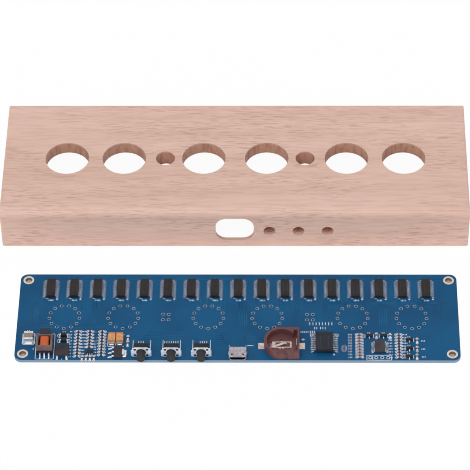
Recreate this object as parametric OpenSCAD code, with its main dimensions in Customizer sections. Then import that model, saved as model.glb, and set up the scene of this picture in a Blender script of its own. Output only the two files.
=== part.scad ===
// Nixie tube clock as a kit: a hollowed beech case, and the populated clock board lying in front of it.
// X runs along the case, +Y from the board to the case, +Z up. Both stand on z = 0.

/* [Case] */
// Length of the wooden case
case_w = 206.2; // [206:0.1:240]
// Depth of the wooden case
case_d = 67.6; // [66:0.1:90]
// Height of the wooden case
case_h = 21.5; // [20:0.1:30]
// Thickness of the wood above the pocket
case_top = 6.1; // [5:0.1:8]
// Rounding of the long upper edge on the socket side
case_nose_r = 4; // [2:0.1:5]
// Rounding of the other outer edges
case_edge_r = 1; // [0.5:0.1:1.5]
// Radius of the cutter that hollows the case
pocket_r = 3; // [2:0.1:4]
// Distance of the row of tube holes from the socket face
tube_row = 33.4; // [33:0.1:35]
// Diameter of a tube hole
tube_hole = 19.4; // [16:0.1:20]
// Diameter of a separator lamp hole
lamp_hole = 8.5; // [6:0.1:10]
// Half the spacing of the middle pair of tube holes
inner_hole = 14; // [13:0.1:15]
// Length of the cable slot
slot_w = 16.8; // [14:0.1:20]
// Height of the cable slot
slot_h = 13.5; // [11:0.1:14.5]
// Corner radius of the cable slot
slot_r = 5; // [3:0.1:5.4]
// Height of the middle of the cable slot
slot_z = 10.6; // [9.8:0.1:11.5]
// Wood left in front of the cable slot's recess
slot_wall = 1.6; // [1.2:0.1:3]
// Diameter of a button hole
button_hole = 5.2; // [4:0.1:6]
// Height of the button holes
button_z = 9.6; // [8:0.1:12]
// Height of the pads that space the board from the wood
pad_h = 1.5; // [1:0.1:2]

/* [Board] */
// Length of the circuit board
board_w = 190.4; // [188:0.1:192]
// Depth of the circuit board
board_d = 49.5; // [48:0.1:50]
// Thickness of the circuit board
board_t = 1.6; // [1.2:0.1:2]
// Corner radius of the circuit board
board_r = 3.2; // [1:0.1:4]
// Distance of the screw holes from the board's edges
screw_inset = 3.5; // [3.2:0.1:4]
// Diameter of the screw holes inside their plating
screw_hole = 3; // [2.5:0.1:3.2]
// Diameter of the plated ring round a screw hole
screw_ring = 4.7; // [4.4:0.1:5.6]
// Distance of the tube pin circles from the button edge
pin_row = 24.5; // [23.5:0.1:25]
// Diameter of a tube's circle of pins
pin_circle = 13.1; // [11:0.1:14]
// Diameter of a pin hole inside its plating
pin_hole = 1.1; // [0.8:0.05:1.2]
// Diameter of the plated ring round a pin hole
pin_ring = 1.7; // [1.5:0.05:2]
// Free space between the board and the case on the table
set_gap = 18.6; // [5:0.1:60]
// Sideways offset of the board from the case
board_shift = 1.8; // [0:0.1:3]

/* [Buttons] */
// Offset of the first button from the socket
button_first = 15.3; // [14:0.1:17]
// Spacing of the buttons
button_pitch = 12.8; // [11:0.1:14]
// Diameter of a plunger
plunger_d = 3.7; // [3:0.1:3.8]
// How far a plunger stands out past the board
plunger_out = 1.7; // [0.2:0.1:3]
// Height of a plunger's axis above the board
plunger_z = 2.7; // [2.5:0.1:3]

/* [Chips] */
// Number of driver chips
driver_n = 17; // [8:1:17]
// Spacing of the driver chips
driver_pitch = 10.2; // [9:0.05:10.25]
// Distance of the driver chips' middle from the button edge
driver_row = 40.5; // [39:0.1:41.5]

/* [Cell holder] */
// Inner diameter of the coin cell holder
cell_d = 12.7; // [12.5:0.1:13]
// Height of the coin cell holder
cell_h = 4; // [3:0.1:5]

/* [Hidden] */
$fn = 48;

fit = 0.6;                  // board to pocket wall
lap = 0.02;                 // overlap that cuts past a face
set_d = plunger_out + board_d + set_gap + case_d;
board_y = plunger_out - set_d / 2;          // the board's button edge
case_y = board_y + board_d + set_gap;       // the case's socket face
tube_x = [for (s = [-1, 1]) for (x = [12.7, 49.5, 74.9]) s * x];
lamp_x = [-31.1, 31.1];
hole_x = [for (x = tube_x) abs(x) < 20 ? sign(x) * inner_hole : x];
screw_x = board_w / 2 - screw_inset;
screw_y = [screw_inset, board_d - screw_inset];
pocket_w = board_w + 2 * fit;
pocket_y = tube_row - pin_row - fit;        // thickness of the wall behind the socket face
pocket_d = board_d + 2 * fit;
pad_d = 8.6;
lamp_pad_d = lamp_hole + 4;
pilot_d = 2;
pilot_deep = 4.5;
wood = [0.84, 0.69, 0.60];
solder = [0.82, 0.82, 0.80];
chip_black = [0.13, 0.12, 0.13];

// ---------- helpers ----------
module rounded_square(w, d, r) {
    translate([r, 0]) square([w - 2 * r, d]);
    translate([0, r]) square([w, d - 2 * r]);
    for (x = [r, w - r]) for (y = [r, d - r]) translate([x, y]) circle(r);
}

// Places its children on the board's upper face, at a point from the board's middle and its button edge.
module on_board(x, y, turn = 0) {
    translate([board_shift + x, board_y + y, board_t]) rotate([0, 0, turn]) children();
}

// A sleeve through the board with a flat ring on its upper face.
module plating(d, ring, wall = 0.1, lip = 0.06) {
    translate([0, 0, -board_t]) rotate_extrude() {
        translate([d / 2, 0]) square([wall, board_t + lip]);
        translate([d / 2, board_t]) square([(ring - d) / 2, lip]);
    }
}

// One bent lead of a surface mounted chip, from the body's side out to its foot, drawn in X and Z.
module gull_lead(body_half, span_half, mid, t, width) {
    knee = body_half + (span_half - body_half) * 0.35;
    heel = body_half + (span_half - body_half) * 0.5;
    translate([0, width / 2, 0]) rotate([90, 0, 0]) linear_extrude(width) polygon([
        [body_half, mid + t / 2], [knee + t / 2, mid + t / 2], [heel + t / 2, t], [span_half, t],
        [span_half, 0], [heel - t / 2, 0], [knee - t / 2, mid - t / 2], [body_half, mid - t / 2]]);
}

// Leads along both long sides of a chip: n on each side, one pitch apart.
module lead_rows(n, pitch, body_half, span_half, mid, t, width) {
    for (side = [0, 180]) rotate([0, 0, side]) for (i = [0 : n - 1])
        translate([0, (i - (n - 1) / 2) * pitch, 0]) gull_lead(body_half, span_half, mid, t, width);
}

// A moulded chip body with drafted sides and a shallow pin mark.
module chip_body(w, l, low, high, draft = 0.12, mark = 0.9) {
    mid = (low + high) / 2;
    side = function(a) [[-a + draft, low], [a - draft, low], [a, mid],
        [a - draft, high], [-a + draft, high], [-a, mid]];
    difference() {
        intersection() {
            translate([0, l / 2, 0]) rotate([90, 0, 0]) linear_extrude(l) polygon(side(w / 2));
            translate([-w / 2, 0, 0]) rotate([90, 0, 90]) linear_extrude(w) polygon(side(l / 2));
        }
        translate([w / 2 - mark, -l / 2 + mark, high - 0.08]) cylinder(d = mark * 0.9, h = 1, $fn = 24);
    }
}

// The two metal ends of a chip resistor or capacitor whose length runs along X, each a cap over its end.
module end_caps(l, w, h, cap, skin) {
    for (side = [0, 180]) rotate([0, 0, side]) difference() {
        translate([l / 2 - cap, -w / 2 - skin, 0]) cube([cap + skin, w + 2 * skin, h + 2 * skin]);
        translate([-l / 2, -w / 2, skin]) cube([l, w, h]);
    }
}

// The body between two end caps.
module capped_body(l, w, h, skin) {
    translate([-l / 2, -w / 2, skin]) cube([l, w, h]);
}

// ---------- case ----------
module case_block() {
    intersection() {
        translate([-case_w / 2, 0, 0]) rotate([90, 0, 90]) linear_extrude(case_w) union() {
            square([case_d, case_h - case_nose_r]);
            translate([case_nose_r, 0]) square([case_d - case_nose_r - case_edge_r, case_h]);
            translate([case_nose_r, 0]) square([case_d - case_nose_r, case_h - case_edge_r]);
            translate([case_nose_r, case_h - case_nose_r]) circle(case_nose_r, $fn = 64);
            translate([case_d - case_edge_r, case_h - case_edge_r]) circle(case_edge_r);
        }
        translate([-case_w / 2, 0, 0]) linear_extrude(case_h) rounded_square(case_w, case_d, case_edge_r);
        translate([-case_w / 2, case_d, 0]) rotate([90, 0, 0]) linear_extrude(case_d) union() {
            square([case_w, case_h - case_edge_r]);
            translate([case_edge_r, 0]) square([case_w - 2 * case_edge_r, case_h]);
            for (x = [case_edge_r, case_w - case_edge_r])
                translate([x, case_h - case_edge_r]) circle(case_edge_r);
        }
    }
}

// Middles of the four screw pads in the case, where the turned-over board's screw holes come.
module at_screw_pads() {
    for (x = [-screw_x, screw_x]) for (y = screw_y)
        translate([x, tube_row - pin_row + y, 0]) children();
}

module wooden_case() color(wood) translate([0, case_y, 0]) difference() {
    case_block();
    // the pocket, with a pad at each screw and round each lamp hole
    difference() {
        translate([-pocket_w / 2, pocket_y, -lap])
            linear_extrude(case_h - case_top + lap) rounded_square(pocket_w, pocket_d, pocket_r);
        at_screw_pads() translate([0, 0, case_h - case_top - pad_h]) cylinder(d = pad_d, h = case_h);
        for (x = lamp_x) translate([x, tube_row, case_h - case_top - pad_h])
            cylinder(d = lamp_pad_d, h = case_h);
    }
    at_screw_pads() translate([0, 0, case_h - case_top - pad_h - lap])
        cylinder(d = pilot_d, h = pilot_deep, $fn = 24);
    for (x = hole_x) translate([x, tube_row, 0]) cylinder(d = tube_hole, h = case_h * 2, $fn = 96);
    for (x = lamp_x) translate([x, tube_row, 0]) cylinder(d = lamp_hole, h = case_h * 2, $fn = 64);
    // the cable slot, and the recess that thins the wall behind it
    translate([-slot_w / 2, pocket_y + lap, slot_z - slot_h / 2]) rotate([90, 0, 0])
        linear_extrude(pocket_y * 2) rounded_square(slot_w, slot_h, slot_r);
    translate([-slot_w / 2 - 2, slot_wall, -lap]) cube([slot_w + 4, pocket_y, slot_z + slot_h / 2 + lap]);
    for (i = [0 : 2]) translate([button_first + i * button_pitch, pocket_y + lap, button_z])
        rotate([90, 0, 0]) cylinder(d = button_hole, h = pocket_y * 2, $fn = 64);
}

// ---------- board ----------
header_x = [for (i = [0 : 3]) 56.7 + i * 2.54];
header_y = 1.5;
header_hole = 0.9;
header_ring = 1.7;
lamp_pitch = [2.54, 3.15];
plate_wall = 0.1;

module at_screws() for (x = [-screw_x, screw_x]) for (y = screw_y) on_board(x, y) children();

module at_tube_pins() for (x = tube_x) for (i = [0 : 12])
    on_board(x + pin_circle / 2 * sin(i * 360 / 13), pin_row - pin_circle / 2 * cos(i * 360 / 13)) children();

module at_lamp_pins() for (x = lamp_x) for (i = [-1, 1]) for (j = [-1, 1])
    on_board(x + i * lamp_pitch[0] / 2, pin_row + j * lamp_pitch[1] / 2) children();

module at_header() for (x = header_x) on_board(x, header_y) children();

module drilled(d) translate([0, 0, -board_t * 2]) cylinder(d = d + 2 * plate_wall, h = board_t * 4, $fn = 24);

module circuit_board() color([0.10, 0.40, 0.60]) difference() {
    translate([board_shift - board_w / 2, board_y, 0])
        linear_extrude(board_t) rounded_square(board_w, board_d, board_r);
    at_screws() drilled(screw_hole);
    at_tube_pins() drilled(pin_hole);
    at_lamp_pins() drilled(pin_hole);
    at_header() drilled(header_hole);
    for (x = [-1, 1]) for (i = [0 : 2]) on_board(-button_first - i * button_pitch + x * switch_pin_x, switch_pin_y)
        drilled(switch_pin_hole);
}

module screw_hole_plating() color(solder) at_screws() plating(screw_hole, screw_ring);
module tube_pin_plating() color([0.85, 0.82, 0.74]) at_tube_pins() plating(pin_hole, pin_ring, $fn = 24);
module lamp_pin_plating() color(solder) at_lamp_pins() plating(pin_hole, pin_ring, $fn = 24);
module header_pin_plating() color(solder) at_header() plating(header_hole, header_ring, $fn = 24);

// ---------- chips ----------
module at_drivers() for (i = [0 : driver_n - 1])
    on_board((i - (driver_n - 1) / 2) * driver_pitch, driver_row) children();

module driver_chip_bodies() color(chip_black) at_drivers() chip_body(3.9, 9.9, 0.15, 1.65);
module driver_chip_leads() color(solder) at_drivers() lead_rows(8, 1.27, 1.95, 3, 0.9, 0.22, 0.42);

clock_at = [37.2, 9.1];
module clock_chip_body() color(chip_black) on_board(clock_at[0], clock_at[1])
    chip_body(7.5, 10.3, 0.2, 2.5, 0.18, 1.2);
module clock_chip_leads() color(solder) on_board(clock_at[0], clock_at[1])
    lead_rows(8, 1.27, 3.75, 5.15, 1.35, 0.26, 0.44);

controller_at = [60.9, 7.2];
module controller_chip_body() color([0.2, 0.17, 0.17])
    on_board(controller_at[0], controller_at[1]) chip_body(4.4, 6.5, 0.1, 1.1, 0.08, 0.8);
module controller_chip_leads() color(solder)
    on_board(controller_at[0], controller_at[1]) lead_rows(10, 0.65, 2.2, 3.2, 0.6, 0.14, 0.25);

regulator_at = [-50.9, 3.9];
regulator_lead_pitch = 2.35;
module regulator_chip_body() color(chip_black) on_board(regulator_at[0], regulator_at[1])
    chip_body(3.5, 6.3, 0.1, 1.7);
module regulator_chip_leads() color(solder) on_board(regulator_at[0], regulator_at[1]) {
    for (i = [-1 : 1]) translate([0, i * regulator_lead_pitch, 0]) rotate([0, 0, 180])
        gull_lead(1.75, 3.7, 0.9, 0.3, 0.75);
    gull_lead(1.75, 3.6, 0.9, 0.3, 3);
}

boost_at = [-62.9, 3.9];
module boost_chip_body() color(chip_black) on_board(boost_at[0], boost_at[1], 90)
    chip_body(1.7, 2.9, 0.1, 1.3, 0.08, 0.5);
module boost_chip_leads() color(solder)
    on_board(boost_at[0], boost_at[1], 90) lead_rows(3, 0.95, 0.85, 1.5, 0.7, 0.15, 0.38);

// ---------- power stage ----------
transistor_at = [-74.8, 4.2];
transistor = [5.8, 5.6, 2.3];     // the moulded body over its tab
tab_t = 0.5;
tab_back = 1.1;                 // how far the tab reaches past the body
module power_transistor_body() color(chip_black) on_board(transistor_at[0], transistor_at[1]) difference() {
    a = transistor[0] / 2;
    h = transistor[2];
    translate([0, transistor[1] / 2, 0]) rotate([90, 0, 0]) linear_extrude(transistor[1])
        polygon([[-a, tab_t], [a, tab_t], [a + 0.1, 1.3], [a - 0.2, h], [-a + 0.2, h], [-a - 0.1, 1.3]]);
    translate([0, transistor[1] / 2 - 1.8, h - 0.1]) cylinder(d = 1.4, h = 1, $fn = 24);
}
module power_transistor_tab() color(solder) on_board(transistor_at[0], transistor_at[1])
    translate([-transistor[0] / 2 + 0.3, -transistor[1] / 2 + 0.6, 0])
        cube([transistor[0] - 0.6, transistor[1] - 0.6 + tab_back, tab_t]);
module power_transistor_leads() color(solder) on_board(transistor_at[0], transistor_at[1] - transistor[1] / 2)
    for (x = [-2, 2]) translate([x, 0, 0]) rotate([0, 0, -90]) gull_lead(0, 0.8, 0.95, 0.4, 0.8);

transformer_at = [-82.3, 7];
core = [6.8, 7.1];          // the core's ring, seen from above
core_low = 1.2;
core_top = 4.9;
core_bar = 0.8;
rail_w = 6.8;
rail_low = 0.3;             // the pins' thickness, on which the rails stand
front_rail = 0.6;
back_rail = 2.9;
back_w = 4.3;
back_top = 5;
coil = [4, 5, 4.6];
module transformer_core() color([0.20, 0.15, 0.14]) on_board(transformer_at[0], transformer_at[1]) difference() {
    translate([-core[0] / 2, -core[1] / 2, core_low]) cube([core[0], core[1], core_top - core_low]);
    translate([-core[0] / 2 + core_bar, -core[1] / 2 + core_bar, 0])
        cube([core[0] - 2 * core_bar, core[1] - 2 * core_bar, core_top * 2]);
}
module transformer_bobbin() color([0.30, 0.23, 0.20]) on_board(transformer_at[0], transformer_at[1]) {
    translate([-rail_w / 2, -core[1] / 2 - front_rail - 0.1, rail_low])
        cube([rail_w, core[1] + front_rail + back_rail - 0.2, core_low - rail_low]);
    translate([-rail_w / 2, -core[1] / 2 - front_rail - 0.1, rail_low]) cube([rail_w, front_rail, 1.8]);
    translate([-back_w / 2, core[1] / 2 + 0.1, rail_low]) cube([back_w, back_rail, back_top - rail_low]);
}
module transformer_winding() color([0.90, 0.42, 0.20]) on_board(transformer_at[0], transformer_at[1])
    translate([0, coil[1] / 2 - 0.2, core_low]) rotate([90, 0, 0]) linear_extrude(coil[1]) difference() {
        translate([-coil[0] / 2, -1]) rounded_square(coil[0], coil[2], 1.1);
        translate([-coil[0], -2]) square([coil[0] * 2, 2]);
    }
module transformer_pins() color(solder) on_board(transformer_at[0], transformer_at[1]) {
    for (x = [-1.9, 0, 1.9]) translate([x, 0, 0]) rotate([0, 0, -90])
        gull_lead(core[1] / 2 + front_rail + 0.1, core[1] / 2 + front_rail + 1.9, 1.3, rail_low, 0.6);
    for (x = [-2.8, 2.8]) translate([x - 0.45, core[1] / 2 + 0.6, 0]) cube([0.9, 2.5, rail_low]);
}

skin = 0.12;
boost_cap_at = [-89.6, 12];
boost_cap = [4.3, 3.6, 2.2];
module boost_capacitor_body() color([0.62, 0.54, 0.46])
    on_board(boost_cap_at[0], boost_cap_at[1], 90) capped_body(boost_cap[0], boost_cap[1], boost_cap[2], skin);
module boost_capacitor_ends() color(solder)
    on_board(boost_cap_at[0], boost_cap_at[1], 90) end_caps(boost_cap[0], boost_cap[1], boost_cap[2], 0.8, skin);

diode_at = [[-74.6, 13.8], [-74.5, 10.8]];
module at_diodes() for (p = diode_at) on_board(p[0], p[1]) children();
module diode_bodies() color(chip_black) at_diodes() chip_body(2.6, 1.8, 0.15, 1.25, 0.1, 0.4);
module diode_ends() color(solder) at_diodes() lead_rows(1, 1, 1.3, 1.95, 0.7, 0.2, 1);

tantalum_at = [[-53.8, 11.3], [-50.4, 11.3]];
tantalum_l = 4.6;
tantalum_foot = 0.25;
module at_tantalums() for (p = tantalum_at) on_board(p[0], p[1]) children();
module tantalum_capacitor_bodies() color([0.93, 0.66, 0.36]) at_tantalums()
    translate([0, tantalum_l / 2, 0]) rotate([90, 0, 0]) linear_extrude(tantalum_l)
        polygon([[-1.5, tantalum_foot], [1.5, tantalum_foot], [1.6, 1.2],
            [1.45, 2.5], [-1.45, 2.5], [-1.6, 1.2]]);
module tantalum_capacitor_ends() color(solder) at_tantalums() for (side = [0, 180]) rotate([0, 0, side]) {
    translate([-1.1, tantalum_l / 2 - 0.8, 0]) cube([2.2, 0.9, tantalum_foot]);
    translate([-1.1, tantalum_l / 2, 0]) cube([2.2, 0.2, 1.3]);
}

// Columns of small two-ended parts: x, y of the lowest one, how many, and their spacing. Each part lies along X.
small_columns = [[-68.4, 2, 9, 1.77], [-63.4, 7.3, 6, 1.77], [-58.1, 2.7, 9, 1.67],
    [52.2, 1.7, 9, 1.61], [69.1, 1.6, 9, 1.62]];
small_rows = [[-66.2, 1.1, 4, 1.7], [59.6, 13.9, 1, 1]];
small_singles = [[-47, 12.4], [-47, 9.2], [76.9, 11], [76.8, 6.4], [76.6, 2], [65.4, 13.6]];
module at_small_parts() {
    for (c = small_columns) for (i = [0 : c[2] - 1]) on_board(c[0], c[1] + i * c[3]) children();
    for (r = small_rows) for (i = [0 : r[2] - 1]) on_board(r[0] + i * r[3], r[1], 90) children();
    for (p = small_singles) on_board(p[0], p[1], 90) children();
}
module chip_resistor_bodies() color([0.34, 0.25, 0.24]) at_small_parts() capped_body(1.5, 0.75, 0.42, 0.05);
module chip_resistor_ends() color(solder) at_small_parts() end_caps(1.5, 0.75, 0.42, 0.34, 0.05);

small_transistors = [[56.5, 13.6], [62.6, 13.6], [73.6, 11.4], [73.5, 6.5], [73.3, 1.9]];
module at_small_transistors() for (p = small_transistors) on_board(p[0], p[1], 90) children();
module small_transistor_bodies() color(chip_black) at_small_transistors()
    chip_body(1.3, 2.9, 0.1, 1.05, 0.06, 0.3);
module small_transistor_leads() color(solder) at_small_transistors() {
    for (y = [-0.95, 0.95]) translate([0, y, 0]) gull_lead(0.65, 1.25, 0.55, 0.13, 0.42);
    rotate([0, 0, 180]) gull_lead(0.65, 1.25, 0.55, 0.13, 0.42);
}

// ---------- socket ----------
usb_w = 7.4;
usb_h = 2.6;
usb_l = 5.3;
usb_at = [0.2, 0];
usb_wall = 0.3;
usb_tab = 0.35;               // how far a solder tab stands out at the side
usb_ear = [0.3, 1.2, 2.9];
usb_latch = [0.7, 0.9];
module usb_outline(inset) {
    a = usb_w / 2 - inset;
    b = usb_h - inset;
    polygon([[-a, b], [-a, 0.95], [-a + 0.9, inset], [a - 0.9, inset], [a, 0.95], [a, b]]);
}
module usb_shell() color([0.78, 0.78, 0.80]) on_board(usb_at[0], usb_at[1]) difference() {
    union() {
        translate([0, usb_l, 0]) rotate([90, 0, 0]) linear_extrude(usb_l) usb_outline(0);
        for (s = [-1, 1]) translate([s * (usb_w / 2 - 0.4) - 0.4 - usb_tab, 3, 0])
            cube([0.8 + 2 * usb_tab, 1.6, 0.3]);
        for (s = [-1, 1]) translate([s * (usb_w / 2 - usb_ear[0] / 2) - usb_ear[0] / 2, usb_l - 0.6, 0])
            cube(usb_ear);
        translate([-usb_w / 2 + 0.4, -0.35, usb_h - 0.25]) cube([usb_w - 0.8, 0.6, 0.25]);
    }
    translate([0, usb_l - 0.8, 0]) rotate([90, 0, 0]) linear_extrude(usb_l * 2) usb_outline(usb_wall);
    for (s = [-1, 1]) translate([s * 2.4 - usb_latch[0] / 2, 0.6, usb_h - usb_wall - 0.2])
        cube([usb_latch[0], usb_latch[1], 2]);
}
module usb_tongue() color([0.1, 0.1, 0.1]) on_board(usb_at[0], usb_at[1])
    translate([-2.3, 1, 1.35]) cube([4.6, usb_l - 1.8, 0.5]);
module usb_contacts() color([0.85, 0.68, 0.30]) on_board(usb_at[0], usb_at[1]) for (i = [-2 : 2])
    translate([i * 0.65 - 0.2, 1.3, 1.25]) cube([0.4, usb_l - 2.4, 0.1]);

// ---------- switches ----------
switch_y = 2;                 // the cover's face, from the button edge
switch_w = 6.5;
switch_deep = 2.8;
switch_h = 5.1;
cover_lip = 0.2;              // how far the cover folds over the housing
cover_w = 7.4;
bore_deep = 2.1;
rivet_x = 2.6;
rivet_z = [0.9, 4.4];
cover_t = 0.3;
switch_pin_x = 2.25;
switch_pin_y = 3.4;
switch_pin_hole = 0.9;
plunger_gap = 0.06;
travel = 0.25;
rivet_d = 1.2;

module at_switches() for (i = [0 : 2]) on_board(-button_first - i * button_pitch, 0) children();
module at_rivets() for (x = [-rivet_x, rivet_x]) for (z = rivet_z)
    translate([x, switch_y + cover_t, z]) rotate([90, 0, 0]) children();
module switch_housings() color(chip_black) at_switches() difference() {
    union() {
        translate([-switch_w / 2, switch_y + cover_t, 0]) cube([switch_w, switch_deep, switch_h]);
        at_rivets() cylinder(d = rivet_d, h = cover_t, $fn = 24);
    }
    translate([0, switch_y + cover_t + bore_deep, plunger_z]) rotate([90, 0, 0])
        cylinder(d = plunger_d + 2 * plunger_gap, h = bore_deep * 2, $fn = 64);
}
module switch_covers() color([0.86, 0.84, 0.82]) at_switches() difference() {
    union() {
        translate([-cover_w / 2, switch_y, 0]) cube([cover_w, cover_t, switch_h]);
        translate([-switch_w / 2 + 0.3, switch_y, switch_h]) cube([switch_w - 0.6, cover_t + cover_lip, 0.2]);
        for (x = [-1, 1]) {
            translate([x * (cover_w / 2) - cover_t / 2, switch_y, 0]) cube([cover_t, 1.5, 3.8]);
            translate([x * (cover_w / 2 + 0.2) - 0.45, switch_y + 0.2, 0]) cube([0.9, cover_t, 3.6]);
        }
    }
    translate([0, switch_y + 1, plunger_z]) rotate([90, 0, 0]) cylinder(d = plunger_d + 0.5, h = 3, $fn = 64);
    at_rivets() translate([0, 0, -cover_t]) cylinder(d = rivet_d, h = cover_t * 3, $fn = 24);
}
module switch_pins() color(solder) at_switches() for (x = [-1, 1])
    translate([x * switch_pin_x, switch_pin_y, -board_t])
        cylinder(d = switch_pin_hole + 2 * plate_wall, h = board_t, $fn = 24);

module plunger(i) color([0.16, 0.16, 0.17]) on_board(-button_first - i * button_pitch, 0) {
    reach = switch_y + cover_t + bore_deep - travel - 0.15;
    translate([0, reach, plunger_z]) rotate([90, 0, 0])
        cylinder(d = plunger_d, h = reach + plunger_out, $fn = 64);
}
module switch_plunger_right() plunger(0);
module switch_plunger_middle() plunger(1);
module switch_plunger_left() plunger(2);

// ---------- coin cell holder ----------
cell_at = [18.9, 7.9];
cell_wall = 1.15;
cell_floor = 0.9;
cell_block = 7.6;           // from the cell's middle to the square end
cell_strip = 4;
root_x = 4.7;               // where the spring comes up through the floor
root_w = 1.5;
channel = [1.7, 12];        // the side contact's channel
channel_x = 5.1;
side_x = cell_d / 2;        // where the side contact stands
side_h = 3;
contact_end = 10;           // from the cell's middle to the end of each solder tab
contact_gap = 0.3;
contact_half = cell_strip / 2 - contact_gap;
strip_t = 0.2;
module cell_outline(extra) {
    circle(d = cell_d + 2 * extra, $fn = 96);
    translate([2.5, -cell_d / 2 - extra]) square([cell_block - 2.5 - cell_wall + extra, cell_d + 2 * extra]);
}
module cell_holder() color([0.42, 0.22, 0.19]) on_board(cell_at[0], cell_at[1]) difference() {
    linear_extrude(cell_h) cell_outline(cell_wall);
    translate([0, 0, cell_floor]) cylinder(d = cell_d, h = cell_h, $fn = 96);
    // the way in over the low wall, and the channel behind the cell's edge
    translate([-1.8, -cell_d, cell_h - 1.2]) cube([3.6, cell_d, cell_h]);
    translate([channel_x, -channel[1] / 2, cell_floor]) cube([channel[0], channel[1], cell_h]);
    translate([0, 2.7, -lap]) cylinder(d = 1, h = cell_h, $fn = 24);
    // slots of the two contacts, under the wall and up through the floor
    translate([-9, -cell_strip / 2, -lap]) cube([9 - root_x + lap, cell_strip, strip_t + 2 * lap]);
    translate([-root_x, -cell_strip / 2, -lap]) cube([root_w, cell_strip, cell_floor + 2 * lap]);
    translate([side_x - 0.15, -cell_strip / 2, -lap]) cube([4, cell_strip, strip_t + 2 * lap]);
    translate([side_x - 0.15, -cell_strip / 2, -lap]) cube([strip_t + 0.3, cell_strip, cell_floor + 2 * lap]);
}
// The spring: a solder tab, a bend up through the floor, a frame on it, and a leaf that rises to the cell.
module cell_minus_contact() color([0.86, 0.82, 0.74]) on_board(cell_at[0], cell_at[1]) {
    low = cell_floor;
    high = cell_floor + strip_t;
    translate([0, contact_half, 0]) rotate([90, 0, 0]) linear_extrude(2 * contact_half) polygon([
        [-contact_end, 0], [-4.1, 0], [-3.8, low], [-2.6, low], [-2.6, high], [-4, high], [-4.3, strip_t],
        [-contact_end, strip_t]]);
    for (y = [-contact_half, contact_half - 0.45]) translate([-2.7, y, low]) cube([7, 0.45, strip_t]);
    translate([3.6, -contact_half, low]) cube([0.7, 2 * contact_half, strip_t]);
    for (x = [-0.9, 0.4]) translate([x, -contact_half - 0.6, low]) cube([0.5, 0.7, strip_t]);
    translate([-0.3, contact_half - 0.1, low]) cube([0.6, 0.5, strip_t]);
    translate([-2.7, -contact_half / 2, 0]) rotate([0, 0, 14]) translate([0, 0.5, 0]) rotate([90, 0, 0])
        linear_extrude(1) polygon([[-0.3, low], [3.8, 1.75], [5, 1.3], [5, 1.5], [3.8, 1.95], [-0.3, high]]);
}
// The side contact: a solder tab and an upright that the cell's edge touches.
module cell_plus_contact() color([0.86, 0.82, 0.74]) on_board(cell_at[0], cell_at[1])
    translate([side_x, -contact_half, 0]) {
        cube([contact_end - side_x, 2 * contact_half, strip_t]);
        cube([strip_t, 2 * contact_half, side_h]);
    }

wooden_case();
circuit_board();
screw_hole_plating();
tube_pin_plating();
lamp_pin_plating();
header_pin_plating();
driver_chip_bodies();
driver_chip_leads();
clock_chip_body();
clock_chip_leads();
controller_chip_body();
controller_chip_leads();
regulator_chip_body();
regulator_chip_leads();
boost_chip_body();
boost_chip_leads();
power_transistor_body();
power_transistor_leads();
power_transistor_tab();
transformer_core();
transformer_bobbin();
transformer_winding();
transformer_pins();
boost_capacitor_body();
boost_capacitor_ends();
diode_bodies();
diode_ends();
tantalum_capacitor_bodies();
tantalum_capacitor_ends();
chip_resistor_bodies();
chip_resistor_ends();
small_transistor_bodies();
small_transistor_leads();
usb_shell();
usb_tongue();
usb_contacts();
switch_housings();
switch_covers();
switch_pins();
switch_plunger_left();
switch_plunger_middle();
switch_plunger_right();
cell_holder();
cell_minus_contact();
cell_plus_contact();
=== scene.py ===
"""Looks of a glow tube clock kit: a hollowed beech case behind its populated blue clock board."""

import logging
import math
from dataclasses import dataclass, field
from enum import Enum

import bpy
import numpy as np
from mathutils import Matrix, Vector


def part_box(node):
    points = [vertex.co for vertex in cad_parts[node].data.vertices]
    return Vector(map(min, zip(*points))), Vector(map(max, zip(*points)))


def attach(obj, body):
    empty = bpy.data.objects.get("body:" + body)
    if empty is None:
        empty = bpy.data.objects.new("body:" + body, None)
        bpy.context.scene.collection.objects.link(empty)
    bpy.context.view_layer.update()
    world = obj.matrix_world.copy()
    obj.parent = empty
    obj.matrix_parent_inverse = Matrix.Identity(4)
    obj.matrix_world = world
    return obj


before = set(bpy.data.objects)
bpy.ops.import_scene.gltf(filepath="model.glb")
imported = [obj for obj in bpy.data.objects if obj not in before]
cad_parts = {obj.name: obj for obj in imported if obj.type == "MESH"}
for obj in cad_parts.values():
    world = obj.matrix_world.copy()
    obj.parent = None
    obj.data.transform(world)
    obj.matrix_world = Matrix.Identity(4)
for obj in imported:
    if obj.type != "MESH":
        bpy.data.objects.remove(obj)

MM = 0.001
PER_METRE = 1000
VIEWPORT_GREY = (0.5, 0.5, 0.5, 1.0)
log = logging.getLogger("clock_kit")
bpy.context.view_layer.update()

Colour = tuple[float, float, float]
Point = tuple[float, float]
Mesh = tuple[np.ndarray, np.ndarray]


def srgb(red: int, green: int, blue: int) -> Colour:
    """Turns a colour as a screen shows it into a linear one, by the sRGB curve.

    Args:
        red: 0 to 255.
        green: 0 to 255.
        blue: 0 to 255.

    Returns:
        The three parts from 0 to 1.
    """
    parts = np.array([red, green, blue]) / 255
    linear = np.where(parts <= 0.04045, parts / 12.92, ((parts + 0.055) / 1.055) ** 2.4)
    return tuple(float(v) for v in linear)


# ---------- shader maths ----------


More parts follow.
